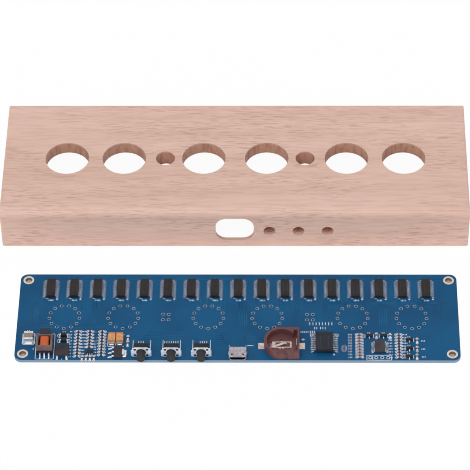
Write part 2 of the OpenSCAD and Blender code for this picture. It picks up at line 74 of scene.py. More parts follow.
class Value:
    """A number socket of a node tree, with arithmetic that adds Math nodes."""

    def __init__(self, nodes: "Nodes", socket: bpy.types.NodeSocket) -> None:
        """Keeps the socket and the tree that it belongs to."""
        self.nodes, self.socket = nodes, socket

    def _math(self, operation: str, *others: "Value | float") -> "Value":
        """Adds one Math node over this value and the others.

        Args:
            operation: the node's operation.
            others: its further inputs.

        Returns:
            The result.
        """
        inputs = dict(enumerate((self, *others)))
        node = self.nodes.node("ShaderNodeMath", {"operation": operation}, inputs)
        return Value(self.nodes, node.outputs[0])

    def __add__(self, other: "Value | float") -> "Value":
        """Sum."""
        return self._math("ADD", other)

    def __sub__(self, other: "Value | float") -> "Value":
        """Difference."""
        return self._math("SUBTRACT", other)

    def __rsub__(self, other: float) -> "Value":
        """Difference from a number."""
        return (self * -1) + other

    def __mul__(self, other: "Value | float") -> "Value":
        """Product."""
        return self._math("MULTIPLY", other)

    def __truediv__(self, other: "Value | float") -> "Value":
        """Quotient."""
        return self._math("DIVIDE", other)

    __radd__ = __add__
    __rmul__ = __mul__

    def above(self, edge: float) -> "Value":
        """Is 1 where the value is over an edge, else 0."""
        return self._math("GREATER_THAN", edge)

    def below(self, edge: float) -> "Value":
        """Is 1 where the value is under an edge, else 0."""
        return self._math("LESS_THAN", edge)

    def size(self) -> "Value":
        """The value without its sign."""
        return self._math("ABSOLUTE")

    def larger(self, other: "Value") -> "Value":
        """The larger of two values."""
        return self._math("MAXIMUM", other)

    def fold(self, step: float) -> "Value":
        """Where the value stands within its step, from 0 to 1."""
        return (self / step)._math("FRACT")

    def off_middle(self, step: float) -> "Value":
        """How far the value stands from the middle of its step, from 0 to 0.5."""
        return (self.fold(step) - 0.5).size()

    def ramp(self, start: float, end: float) -> "Value":
        """Rises smoothly from 0 to 1 and stays there: 3t^2 - 2t^3 for the share t of the way.

        Args:
            start: the value that gives 0.
            end: the value that gives 1.

        Returns:
            The result, from 0 to 1.
        """
        inputs = {"Value": self, "From Min": start, "From Max": end}
        node = self.nodes.node("ShaderNodeMapRange", {"interpolation_type": "SMOOTHSTEP"}, inputs)
        return Value(self.nodes, node.outputs[0])


class Nodes:
    """The node tree of a material or of the world, whose nodes all come from one method."""

    def __init__(self, tree: bpy.types.NodeTree) -> None:
        """Keeps the tree."""
        self.tree = tree

    def feed(self, entry: bpy.types.NodeSocket,
             value: "Value | Colour | float | bpy.types.NodeSocket") -> None:
        """Links a value or socket to an input, or sets a number, vector or colour on it.

        Args:
            entry: the input.
            value: what goes in; a colour of three parts becomes opaque.
        """
        if isinstance(value, Value):
            value = value.socket
        if isinstance(value, bpy.types.NodeSocket):
            self.tree.links.new(value, entry)
        else:
            entry.default_value = (*value, 1.0) if entry.type == "RGBA" else value

    def node(self, kind: str, settings: dict, inputs: dict) -> bpy.types.Node:
        """Adds any node.

        Args:
            kind: the node's type.
            settings: its attributes, which are set first.
            inputs: what its inputs take, by the input's name or index.

        Returns:
            The new node.
        """
        made = self.tree.nodes.new(kind)
        for key, value in settings.items():
            setattr(made, key, value)
        for key, value in inputs.items():
            self.feed(made.inputs[key], value)
        return made

    def looked_at(self) -> Value:
        """Is 1 for rays that come from the camera or a reflection, else 0."""
        rays = self.node("ShaderNodeLightPath", {}, {})
        camera, glossy = (Value(self, rays.outputs[name])
                          for name in ("Is Camera Ray", "Is Glossy Ray"))
        return camera.larger(glossy)


class Graph(Nodes):
    """The node tree of one material, with its object coordinates in millimetres."""

    def __init__(self, name: str) -> None:
        """Makes a material with a Principled shader.

        Args:
            name: the material's name.
        """
        self.material = bpy.data.materials.new(name)
        self.material.use_nodes = True
        super().__init__(self.material.node_tree)
        self.shader = self.tree.nodes["Principled BSDF"]
        self.place = self.node("ShaderNodeTexCoord", {}, {}).outputs["Object"]
        split = self.node("ShaderNodeSeparateXYZ", {}, {0: self.place})
        self.x, self.y, self.z = (Value(self, split.outputs[i]) * PER_METRE for i in range(3))

    def stretched(self, scale: tuple[float, float, float]) -> bpy.types.NodeSocket:
        """The object coordinates, drawn out by a scale along each axis."""
        return self.node("ShaderNodeMapping", {}, {"Vector": self.place, "Scale": scale}).outputs[0]

    def noise(self, per_metre: float, detail: float = 2.0,
              vector: "bpy.types.NodeSocket | None" = None) -> Value:
        """Cloudy noise.

        Args:
            per_metre: how many clouds fit in a metre.
            detail: octaves of finer clouds.
            vector: coordinates, else the object's own.

        Returns:
            The noise, from 0 to 1.
        """
        inputs = {"Vector": vector or self.place, "Scale": per_metre, "Detail": detail}
        return Value(self, self.node("ShaderNodeTexNoise", {}, inputs).outputs[0])

    def mix(self, share: Value, first: "Colour | bpy.types.NodeSocket",
            second: "Colour | bpy.types.NodeSocket") -> bpy.types.NodeSocket:
        """Goes from the first colour to the second as share goes from 0 to 1."""
        inputs = {0: share, 6: first, 7: second}
        return self.node("ShaderNodeMix", {"data_type": "RGBA"}, inputs).outputs[2]

    def bump(self, height: Value, depth: float) -> None:
        """Lets a height of 0 to 1 roughen the surface by a depth in millimetres."""
        inputs = {"Height": height, "Distance": depth * MM, "Strength": 1.0}
        self.feed(self.shader.inputs["Normal"], self.node("ShaderNodeBump", {}, inputs).outputs[0])

    def paint(self, colour: "Colour | bpy.types.NodeSocket", roughness: "Value | float",
              **fixed: float) -> bpy.types.Material:
        """Sets the shader's sockets.

        Args:
            colour: a colour or a socket.
            roughness: a number or a value.
            fixed: numbers for other sockets, by the socket's name with _ for a space.

        Returns:
            The finished material.
        """
        self.feed(self.shader.inputs["Base Color"], colour)
        self.feed(self.shader.inputs["Roughness"], roughness)
        for key, value in fixed.items():
            self.feed(self.shader.inputs[key.replace("_", " ")], value)
        self.material.diffuse_color = VIEWPORT_GREY
        return self.material


# ---------- finishes ----------


@dataclass(frozen=True)
class Hollow:
    """Where a block is milled out, in mm: its front and back, half its length and its roof."""

    front: float
    back: float
    half: float
    roof: float


@dataclass(frozen=True)
class Beech:
    """Milled beech: pinkish tan with long soft streaks and short dark flecks along X.

    The counts are clouds of noise in a metre, across the grain.
    """

    pale: Colour = srgb(226, 192, 178)
    warm: Colour = srgb(214, 177, 161)
    fleck: Colour = srgb(180, 140, 123)
    # The milled inside's two colours are darker partly as painted shade, on top of the cut wood's
    # own tone.
    cut_wood_and_shade: Colour = srgb(206, 152, 126)
    end_grain_and_shade: Colour = srgb(158, 106, 84)
    fleck_length: float = 2.2
    fleck_width: float = 0.19
    fleck_spread: float = 2.2
    streak_count: float = 130
    band_count: float = 38
    grain_count: float = 850
    group_count: float = 70
    burr_count: float = 700
    pore_count: float = 520
    relief: float = 0.05

    def dress(self, hollow: Hollow) -> bpy.types.Material:
        """Builds the wood, with the milled inside rougher and darker: partly its own cut grain,
        partly painted shade.

        Args:
            hollow: where the inside lies.

        Returns:
            The material.
        """
        g = Graph("beech")
        streaks = g.noise(self.streak_count, 1, g.stretched((0.05, 1.0, 1.0)))
        bands = g.noise(self.band_count, 2, g.stretched((0.05, 1.0, 0.55)))
        wood = g.mix((streaks * 0.6 + bands * 0.4).ramp(0.25, 0.75), self.pale, self.warm)
        grain = g.noise(self.grain_count, 1, g.stretched((0.1, 1.0, 1.0)))
        wood = g.mix(grain.ramp(0.38, 0.72) * 0.25, wood, self.fleck)
        short = g.stretched((self.fleck_width / self.fleck_length, 1.0, 1.0))
        flecks = g.noise(PER_METRE / self.fleck_width / self.fleck_spread, 0, short)
        groups = g.noise(self.group_count, 1, g.stretched((0.3, 1.0, 1.0)))
        marks = flecks.ramp(0.58, 0.7) * groups.ramp(0.3, 0.6)
        wood = g.mix(marks * 0.6, wood, self.fleck)
        inside = g.y.above(hollow.front) * g.y.below(hollow.back)
        inside = inside * g.x.size().below(hollow.half) * g.z.below(hollow.roof)
        burr = g.noise(self.burr_count, 2, g.stretched((0.3, 1.0, 1.0)))
        # Painted shade: the milled inside, seen through the holes, is darkened on top of its cut
        # grain and pores.
        wood = g.mix(inside * (burr * 0.3 + 0.6), wood, self.cut_wood_and_shade)
        pores = g.noise(self.pore_count, 1, g.stretched((1.0, 1.0, 0.25)))
        wood = g.mix(inside * pores.ramp(0.4, 0.7) * 0.55, wood, self.end_grain_and_shade)
        g.bump(streaks * 0.4 - marks * 0.6 + burr * inside * 0.6, self.relief)
        return g.paint(wood, 0.5 + burr * 0.12)


@dataclass(frozen=True)
class SolderResist:
    """Blue resist over the board, with the bare pale laminate along its cut edge."""

    blue: Colour = srgb(0, 82, 126)
    deep: Colour = srgb(0, 72, 114)
    edge: Colour = srgb(140, 162, 182)
    coat: float = 0.03
    weave_step: float = 0.9
    specular: float = 0.22

    def dress(self, thickness: float) -> bpy.types.Material:
        """Builds the board's finish.

        Args:
            thickness: the board's, in mm.

        Returns:
            The material.
        """
        g = Graph("blue_resist")
        clouds = g.noise(45, 2)
        weave = g.x.off_middle(self.weave_step) + g.y.off_middle(self.weave_step)
        face = g.mix(clouds.ramp(0.35, 0.65), self.blue, self.deep)
        side = g.z.above(self.coat) * g.z.below(thickness - self.coat)
        fibres = g.noise(2500, 1, g.stretched((0.2, 0.2, 1.0)))
        colour = g.mix(side * (0.85 + fibres * 0.15), face, self.edge)
        g.bump(weave * 0.1 + clouds * 0.2, 0.02)
        roughness = 0.4 + clouds * 0.1 + side * 0.3
        return g.paint(colour, roughness, Specular_IOR_Level=self.specular)


@dataclass(frozen=True)
class TrackResist:
    """The same resist where it lies over a copper track: a little lighter and greener."""

    over: Colour = srgb(14, 96, 142)
    dark: Colour = srgb(0, 78, 122)
    specular: float = 0.22

    def dress(self) -> bpy.types.Material:
        """Builds the finish of the tracks.

        Returns:
            The material.
        """
        g = Graph("resist_over_copper")
        colour = g.mix(g.noise(60, 1).ramp(0.4, 0.6), self.over, self.dark)
        return g.paint(colour, 0.4, Specular_IOR_Level=self.specular)


class Shine(Enum):
    """How a metal takes the light: its roughness and how deep its marks are, in mm."""

    BRIGHT = (0.22, 0.004)
    SATIN = (0.36, 0.01)
    DULL = (0.5, 0.02)


@dataclass(frozen=True)
class Metal:
    """A plated or tinned metal with faint cloudy marks."""

    name: str
    colour: Colour
    shade: Colour
    shine: Shine = Shine.SATIN
    metallic: float = 0.85

    def dress(self) -> bpy.types.Material:
        """Builds the metal.

        Returns:
            The material.
        """
        g = Graph(self.name)
        marks = g.noise(900, 3)
        rough, depth = self.shine.value
        g.bump(marks, depth)
        colour = g.mix(marks.ramp(0.35, 0.65), self.colour, self.shade)
        return g.paint(colour, marks * 0.2 + (rough - 0.1), Metallic=self.metallic)


@dataclass(frozen=True)
class CombLead:
    """A row of bright leads at one pitch, whose flanks face each other and so stay in shade."""

    name: str
    pitch: float
    centre: float
    core: float
    bright: Colour = srgb(240, 243, 250)
    flank: Colour = srgb(32, 38, 54)

    def dress(self) -> bpy.types.Material:
        """Builds the leads: bright up to core from a lead's axis, shaded past it.

        Returns:
            The material.
        """
        g = Graph(self.name)
        from_axis = (g.y - self.centre).off_middle(self.pitch) * self.pitch
        marks = g.noise(900, 2)
        colour = g.mix(from_axis.above(self.core), self.bright, self.flank)
        return g.paint(colour, marks * 0.2 + 0.3, Metallic=0.25)


@dataclass(frozen=True)
class Plating:
    """A plated ring on the board's face, whose barrel below the face is painted dull and dark as
    shade.
    """

    name: str
    face: Colour
    barrel_shade: Colour
    lip: float = 0.03

    def dress(self, top: float) -> bpy.types.Material:
        """Builds the plating.

        Args:
            top: the height of the rings' upper face, in mm.

        Returns:
            The material.
        """
        g = Graph(self.name)
        marks = g.noise(1200, 2)
        # Below the ring's face the barrel colour is used: painted shade inside the hole.
        inside = g.z.below(top - self.lip)
        worn = g.mix(marks.ramp(0.4, 0.6) * 0.2, self.face, self.barrel_shade)
        g.bump(marks, 0.01)
        return g.paint(g.mix(inside, worn, self.barrel_shade), inside * 0.6 + (marks * 0.1 + 0.3),
                       Metallic=0.1, Specular_IOR_Level=0.2)


@dataclass(frozen=True)
class Shell:
    """The supply socket's plated sheet, whose inside is painted dark as shade."""

    colour: Colour = srgb(182, 176, 184)
    shade: Colour = srgb(152, 147, 156)
    # The inside colour is painted shade on the sheet's inner faces.
    inside: Colour = srgb(26, 24, 26)
    tabs: float = 0.35
    wall: float = 0.2
    ears: float = 0.3
    mouth: float = 0.45

    def dress(self, box: np.ndarray) -> bpy.types.Material:
        """Builds the finish of a shell whose solder tabs and ears stand out of its body.

        Args:
            box: its lowest and highest corner, in mm.

        Returns:
            The material.
        """
        g = Graph("plated_shell")
        low, high = box.tolist()
        half = (high[0] - low[0]) / 2 - self.tabs - self.wall
        within = (g.x - (low[0] + high[0]) / 2).size().below(half) * g.z.above(low[2] + self.wall)
        within = within * g.z.below(high[2] - self.ears - self.wall)
        within = within * g.y.above(low[1] + self.mouth)
        marks = g.noise(900, 3)
        g.bump(marks, 0.008)
        outside = g.mix(marks.ramp(0.35, 0.65), self.colour, self.shade)
        # within picks the inner faces, which are painted dark as shade.
        return g.paint(g.mix(within, outside, self.inside), marks * 0.2 + 0.3, Metallic=0.6)


@dataclass(frozen=True)
class Moulded:
    """A moulded plastic, epoxy or ceramic with a fine grain."""

    name: str
    colour: Colour
    shade: Colour
    roughness: float = 0.6
    grain: float = 0.012
    clouds: float = 1600
    specular: float = 0.35

    def dress(self) -> bpy.types.Material:
        """Builds the moulding.

        Returns:
            The material.
        """
        g = Graph(self.name)
        fine, broad = g.noise(self.clouds, 3), g.noise(self.clouds / 9, 1)
        g.bump(fine, self.grain)
        tone = (fine * 0.5 + broad * 0.5).ramp(0.35, 0.65)
        return g.paint(g.mix(tone, self.colour, self.shade), self.roughness - 0.08 + fine * 0.16,
                       Specular_IOR_Level=self.specular)


@dataclass(frozen=True)
class ChipParts:
    """Small ceramic parts: black or red ones, and brown ones in one column on the right."""

    black: Colour = srgb(52, 42, 46)
    red: Colour = srgb(112, 58, 52)
    brown: Colour = srgb(150, 92, 62)
    brown_from: float = 50.0
    brown_to: float = 58.0

    def dress(self) -> bpy.types.Material:
        """Builds the bodies' finish, chosen by where a part stands.

        Returns:
            The material.
        """
        g = Graph("small_ceramic")
        column = g.x.above(self.brown_from) * g.x.below(self.brown_to)
        lot = g.noise(420, 0).ramp(0.45, 0.6)
        g.bump(g.noise(2500, 2), 0.01)
        colour = g.mix(column, g.mix(lot, self.black, self.red), self.brown)
        return g.paint(colour, 0.5 + lot * 0.1)


@dataclass(frozen=True)
class WoundTape:
    """Orange tape over a winding, with the turns under it as fine ridges across, whose crests are
    painted lighter as a highlight.
    """

    tape: Colour = srgb(188, 66, 16)
    light: Colour = srgb(208, 100, 44)
    turn: float = 0.34

    def dress(self) -> bpy.types.Material:
        """Builds the winding's finish.

        Returns:
            The material.
        """
        g = Graph("orange_tape")
        ridge = g.x.off_middle(self.turn) * 2
        g.bump(ridge, 0.06)
        # Painted highlight: the lighter colour falls partly on the crests of the turns and partly
        # at random.
        colour = g.mix(ridge * 0.5 + g.noise(800, 2) * 0.4, self.tape, self.light)
        return g.paint(colour, 0.34 + ridge * 0.08)


@dataclass(frozen=True)
class PolarResin:
    """Orange-yellow capacitor resin with a darker polarity bar at the back end."""

    resin: Colour = srgb(214, 156, 106)
    shade: Colour = srgb(196, 132, 82)
    bar: Colour = srgb(176, 108, 52)

    def dress(self, bar_from: float) -> bpy.types.Material:
        """Builds the resin.

        Args:
            bar_from: where the bar starts along Y, in mm.

        Returns:
            The material.
        """
        g = Graph("orange_resin")
        clouds = g.noise(900, 2)
        body = g.mix(clouds.ramp(0.4, 0.6), self.resin, self.shade)
        g.bump(clouds, 0.02)
        colour = g.mix(g.y.above(bar_from) * 0.7, body, self.bar)
        return g.paint(colour, 0.42 + clouds * 0.1)


class Finish(Enum):
    """The finishes that need no size of the part that wears them."""

    BLACK_EPOXY = Moulded("black_epoxy", srgb(30, 28, 31), srgb(42, 39, 41), 0.55, 0.02, 2200, 0.25)
    WORN_EPOXY = Moulded("worn_epoxy", srgb(48, 42, 48), srgb(62, 56, 63), 0.6, 0.02, 1800, 0.25)
    BLUE_EPOXY = Moulded("blue_black_epoxy", srgb(29, 32, 42), srgb(39, 43, 54),
                         0.5, 0.02, 2200, 0.25)
    BROWN_EPOXY = Moulded("brown_epoxy", srgb(48, 44, 48), srgb(66, 60, 60), 0.5, 0.02, 2200)
    LASER_GREY = Moulded("laser_grey", srgb(96, 90, 88), srgb(84, 78, 78), 0.6, 0.003, 3000)
    SILK_WHITE = Moulded("silk_white", srgb(236, 240, 246), srgb(206, 214, 226), 0.6, 0.004, 3000)
    FERRITE = Moulded("ferrite", srgb(124, 102, 98), srgb(98, 80, 77), 0.7, 0.03, 1500)
    BOBBIN = Moulded("dark_bobbin", srgb(40, 38, 58), srgb(30, 28, 46), 0.5, 0.02, 900)
    TAN_CERAMIC = Moulded("tan_ceramic", srgb(146, 130, 118), srgb(122, 111, 102), 0.5, 0.02, 700)
    BLACK_PLASTIC = Moulded("black_plastic", srgb(22, 21, 25), srgb(32, 30, 35),
                            0.5, 0.01, 1500, 0.25)
    BUTTON_BLACK = Moulded("button_black", srgb(31, 31, 33), srgb(42, 41, 43), 0.5, 0.01, 1500)
    RED_BROWN = Moulded("red_brown", srgb(114, 72, 72), srgb(96, 60, 62), 0.42, 0.03, 420)
    LEAD_TIN = Metal("tinned_lead", srgb(236, 236, 238), srgb(204, 204, 208), Shine.SATIN, 0.45)
    SOLDER = Metal("solder", srgb(238, 238, 240), srgb(206, 206, 212), Shine.BRIGHT, 0.45)
    BRIGHT_PIN = Metal("bright_pin", srgb(236, 236, 238), srgb(200, 200, 206), Shine.BRIGHT, 0.5)
    GOLD_STRIP = Metal("gold_strip", srgb(214, 184, 120), srgb(196, 160, 96), Shine.BRIGHT)
    STEEL_COVER = Metal("steel_cover", srgb(234, 240, 250), srgb(202, 212, 230), Shine.SATIN, 0.22)
    PIN_TIN = Metal("pin_tin", srgb(190, 190, 192), srgb(150, 150, 154), Shine.DULL)
    PALE_STRIP = Metal("pale_gold_strip", srgb(216, 200, 192), srgb(188, 170, 162),
                       Shine.SATIN, 0.6)

    def dress(self) -> bpy.types.Material:
        """Builds the material."""
        return self.value.dress()


# ---------- surfaces ----------


def add_piece(name: str, points: np.ndarray, quads: np.ndarray, material: bpy.types.Material,
              body: str, slot: str) -> bpy.types.Object:
    """Puts a mesh of four-sided faces into the scene as a piece of the object.

    Args:
        name: the piece's name.
        points: its vertices in millimetres, n by 3.
        quads: its faces, m by 4.
        material: its finish.
        body: the CAD body it moves with.
        slot: the record's material slot; not used.

    Returns:
        The new object.
    """
    mesh = bpy.data.meshes.new(name)
    mesh.vertices.add(len(points))
    mesh.vertices.foreach_set("co", (points * MM).astype(np.float32).ravel())
    mesh.loops.add(quads.size)
    mesh.loops.foreach_set("vertex_index", quads.astype(np.int32).ravel())
    mesh.polygons.add(len(quads))
    mesh.polygons.foreach_set("loop_start", np.arange(0, quads.size, 4, dtype=np.int32))
    mesh.polygons.foreach_set("loop_total", np.full(len(quads), 4, dtype=np.int32))
    mesh.update(calc_edges=True)
    mesh.validate()
    mesh.materials.append(material)
    made = bpy.data.objects.new(name, mesh)
    bpy.context.scene.collection.objects.link(made)
    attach(made, body)
    log.info("piece %s: %d faces", name, len(quads))
    return made


def smooth(piece: bpy.types.Object) -> None:
    """Shades every face of a piece smooth."""
    piece.data.polygons.foreach_set("use_smooth", np.ones(len(piece.data.polygons), dtype=bool))


def slabs(centres: np.ndarray, sizes: np.ndarray, turns: np.ndarray) -> Mesh:
    """Flat bricks: each is a unit cube stretched to its size, turned about Z and moved.

    Args:
        centres: n by 3, the middle of each brick's lower face.
        sizes: n by 3.
        turns: n angles in radians.

    Returns:
        The points and the four-sided faces of all the bricks.
    """
    square = np.array([[-1, -1], [1, -1], [1, 1], [-1, 1]])
    signs = np.concatenate([np.column_stack([square, np.full(4, level)]) for level in (0, 1)])
    local = signs[None] * sizes[:, None] * np.array([0.5, 0.5, 1.0])
    x, y, z = local[..., 0], local[..., 1], local[..., 2]
    cos, sin = np.cos(turns)[:, None], np.sin(turns)[:, None]
    turned = np.stack([x * cos - y * sin, x * sin + y * cos, z], axis=-1)
    faces = np.array([[0, 3, 2, 1], [4, 5, 6, 7], [0, 1, 5, 4],
                      [1, 2, 6, 5], [2, 3, 7, 6], [3, 0, 4, 7]])
    quads = faces[None] + len(signs) * np.arange(len(centres))[:, None, None]
    return (turned + centres[:, None]).reshape(-1, 3), quads.reshape(-1, 4)


def mounds(low: np.ndarray, high: np.ndarray, base: float, height: float,
           rows: int = 7, under: float = 0.005) -> Mesh:
    """Solder mounds, closed below: for u, v from -1 to 1, z = height * (1 - u^4) * (1 - v^4).

    Args:
        low: n by 2, the rectangles' lower corners.
        high: n by 2, their upper corners.
        base: the height of their rim.
        height: how high the middle stands over it.
        rows: grid points along each side.
        under: how far the flat underside lies below the rim.

    Returns:
        The points and the four-sided faces of all the mounds.
    """
    u, v = np.meshgrid(np.linspace(-1, 1, rows), np.linspace(-1, 1, rows), indexing="ij")
    rise = height * (1 - u ** 4) * (1 - v ** 4)
    n = len(low)
    middle, half = (low + high) / 2, (high - low) / 2
    x = middle[:, 0, None, None] + half[:, 0, None, None] * u
    y = middle[:, 1, None, None] + half[:, 1, None, None] * v
    top = np.stack([x, y, np.broadcast_to(base + rise, x.shape)], axis=-1).reshape(n, -1, 3)
    bottom = top.copy()
    bottom[..., 2] = base - under
    points = np.concatenate([top, bottom], axis=1)
    index = np.arange(rows * rows).reshape(rows, rows)
    corners = [index[:-1, :-1], index[1:, :-1], index[1:, 1:], index[:-1, 1:]]
    face = np.stack(corners, axis=-1).reshape(-1, 4)
    rim = np.concatenate([index[:-1, 0], index[-1, :-1], index[:0:-1, -1], index[0, :0:-1]])
    after = np.roll(rim, -1)
    skirt = np.stack([rim, rim + rows * rows, after + rows * rows, after], axis=-1)
    faces = np.concatenate([face, face[:, ::-1] + rows * rows, skirt])
    quads = faces[None] + 2 * rows * rows * np.arange(n)[:, None, None]
    return points.reshape(-1, 3), quads.reshape(-1, 4)


def strips(paths: list[list[Point]], width: float, base: float, thickness: float) -> Mesh:
    """Flat strips along paths: one slab for each straight run, half a width longer at both ends.

    Args:
        paths: corner points of each path, in mm.
        width: the strip's width.
        base: the height of its underside.
        thickness: how thick it is.

    Returns:
        The points and the four-sided faces of all the runs.
    """
    starts = np.array([a for path in paths for a in path[:-1]])
    ends = np.array([b for path in paths for b in path[1:]])
    run = ends - starts
    n = len(run)
    middles = np.column_stack([(starts + ends) / 2, np.full(n, base)])
    lengths = np.hypot(run[:, 0], run[:, 1]) + width
    sizes = np.column_stack([lengths, np.full(n, width), np.full(n, thickness)])
    return slabs(middles, sizes, np.arctan2(run[:, 1], run[:, 0]))


def discs(centres: np.ndarray, radius: float, base: float, thickness: float,
          sides: int = 12, hole: float = 0.08) -> Mesh:
    """Flat dots or collars: circles of radius and of hole times it, on two levels, joined by quads.

    Args:
        centres: n by 2, in mm.
        radius: the outer one.
        base: the height of the underside.
        thickness: how thick they are.
        sides: points round each circle.
        hole: the inner radius as a share of the outer.

    Returns:
        The points and the four-sided faces of all of them.
    """
    angle = np.linspace(0, 2 * np.pi, sides, endpoint=False)
    circle = np.column_stack([np.cos(angle), np.sin(angle)]) * radius
    rings = [(1.0, 0.0), (1.0, thickness), (hole, thickness), (hole, 0.0)]
    local = np.concatenate([np.column_stack([circle * r, np.full(sides, z)]) for r, z in rings])
    a = np.arange(sides)
    b = np.roll(a, -1)
    walls = [np.column_stack([a + i * sides, b + i * sides, b + j * sides, a + j * sides])
             for i, j in ((0, 1), (1, 2), (2, 3), (3, 0))]
    quads = np.concatenate(walls)
    points = local[None] + np.column_stack([centres, np.full(len(centres), base)])[:, None]
    quads = quads[None] + len(local) * np.arange(len(centres))[:, None, None]
    return points.reshape(-1, 3), quads.reshape(-1, 4)


# ---------- places taken from the frame ----------


def box_of(node: str) -> np.ndarray:
    """A CAD node's lowest and highest corner, in mm."""
    return np.array(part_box(node)) / MM


def islands(node: str) -> np.ndarray:
    """The boxes of a CAD node's separate solids.

    Points at one place count as one. Each triangle hands its lowest label to its corners, until
    no label changes.

    Args:
        node: the CAD node's name.

    Returns:
        n by 2 by 3: each solid's lowest and highest corner, in mm.
    """
    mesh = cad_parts[node].data
    mesh.calc_loop_triangles()
    raw = np.zeros(len(mesh.vertices) * 3, dtype=np.float32)
    mesh.vertices.foreach_get("co", raw)
    corners = np.zeros(len(mesh.loop_triangles) * 3, dtype=np.int32)
    mesh.loop_triangles.foreach_get("vertices", corners)
    points = raw.reshape(-1, 3) / MM
    _, same = np.unique(np.round(points, 3), axis=0, return_inverse=True)
    same = same.reshape(-1)
    triangles = same[corners.reshape(-1, 3)]
    labels = np.arange(triangles.max() + 1)
    while True:
        lowest = labels[triangles].min(axis=1)
        fresh = labels.copy()
        for corner in range(3):
            np.minimum.at(fresh, triangles[:, corner], lowest)
        if np.array_equal(fresh, labels):
            break
        labels = fresh
    owner = labels[same]
    groups = [points[owner == label] for label in np.unique(owner)]
    return np.array([(group.min(axis=0), group.max(axis=0)) for group in groups])


def from_nearest(spot: np.ndarray, centres: np.ndarray) -> np.ndarray:
    """The way from the nearest of some centres to a spot, seen from above."""
    return spot - centres[np.argmin(np.hypot(*(centres - spot).T))]


@dataclass(frozen=True)
class Outline:
    """A part's outline seen from above, in mm."""

    left: float
    front: float
    right: float
    back: float

    @classmethod
    def of(cls, box: np.ndarray) -> "Outline":
        """The outline of a box that is given by its lowest and highest corner."""
        return cls(box[0][0], box[0][1], box[1][0], box[1][1])


def outlines(node: str) -> list[Outline]:
    """The outlines of a CAD node's separate solids."""
    return [Outline.of(box) for box in islands(node)]


def coat(material: bpy.types.Material, *nodes: str) -> None:
    """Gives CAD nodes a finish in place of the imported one.

    Args:
        material: the finish.
        nodes: the nodes' names.
    """
    for node in nodes:
        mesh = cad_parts[node].data
        mesh.materials.clear()
        mesh.materials.append(material)
        log.info("node %s: %s", node, material.name)


# ---------- sub-assemblies ----------


@dataclass
class Case:
    """The hollowed beech case, which the board goes up into."""

    node: str = "wooden_case"
    wall: float = 1.8
    skin: float = 0.6

    def build(self) -> None:
        """Gives the case its wood, with a darker milled inside that is partly painted shade."""
        low, high = box_of(self.node)
        hollow = Hollow(low[1] + self.wall, high[1] - self.wall, high[0] - self.wall,
                        high[2] - self.skin)
        coat(Beech().dress(hollow), self.node)


@dataclass
class Board:
    """The bare board with its resist and plated holes."""

    node: str = "circuit_board"
    body: str = "board"
    slot: str = "blue_board"
    sunk: float = 0.004
    collar_in: float = 0.74
    collar_out: float = 0.95
    collar_rise: float = 0.085
    collar_sides: int = 20
    low: np.ndarray = field(default_factory=lambda: box_of("circuit_board")[0])
    high: np.ndarray = field(default_factory=lambda: box_of("circuit_board")[1])

    @property
    def base(self) -> float:
        """Where things laid on the board start: just below its face, in mm."""
        return self.high[2] - self.sunk

    def at(self, x: float, y: float) -> Point:
        """A point given from the board's middle and its button edge."""
        return ((self.low[0] + self.high[0]) / 2 + x, self.low[1] + y)

    def build(self) -> None:
        """Dresses the board and its plated holes, and lays a collar of resist on each pin ring."""
        resist = SolderResist().dress(self.high[2] - self.low[2])
        coat(resist, self.node)
        pins = [islands(node) for node in ("tube_pin_plating", "lamp_pin_plating")]
        spots = np.concatenate(pins).mean(axis=1)[:, :2]
        points, quads = discs(spots, self.collar_out, self.base, self.collar_rise,
                              self.collar_sides, self.collar_in / self.collar_out)
        add_piece("resist_collars", points, quads, resist, self.body, self.slot)
        top = box_of("screw_hole_plating")[1][2]
        # Each plating's second colour is painted shade on the barrel inside its hole: tan-brown for
        # the screws, near black for the pins.
        screws = Plating("screw_ring", srgb(218, 212, 206), srgb(150, 124, 102))
        coat(screws.dress(top), "screw_hole_plating")
        wires = Plating("pin_ring", srgb(188, 208, 230), srgb(4, 5, 10))
        coat(wires.dress(top), "header_pin_plating", "tube_pin_plating", "lamp_pin_plating")


@dataclass(frozen=True)
class Bundle:
    """Parallel tracks: each path's points as x and y, and how far each moves per track."""

    count: int
    paths: tuple[tuple[tuple[float, float, float, float], ...], ...]


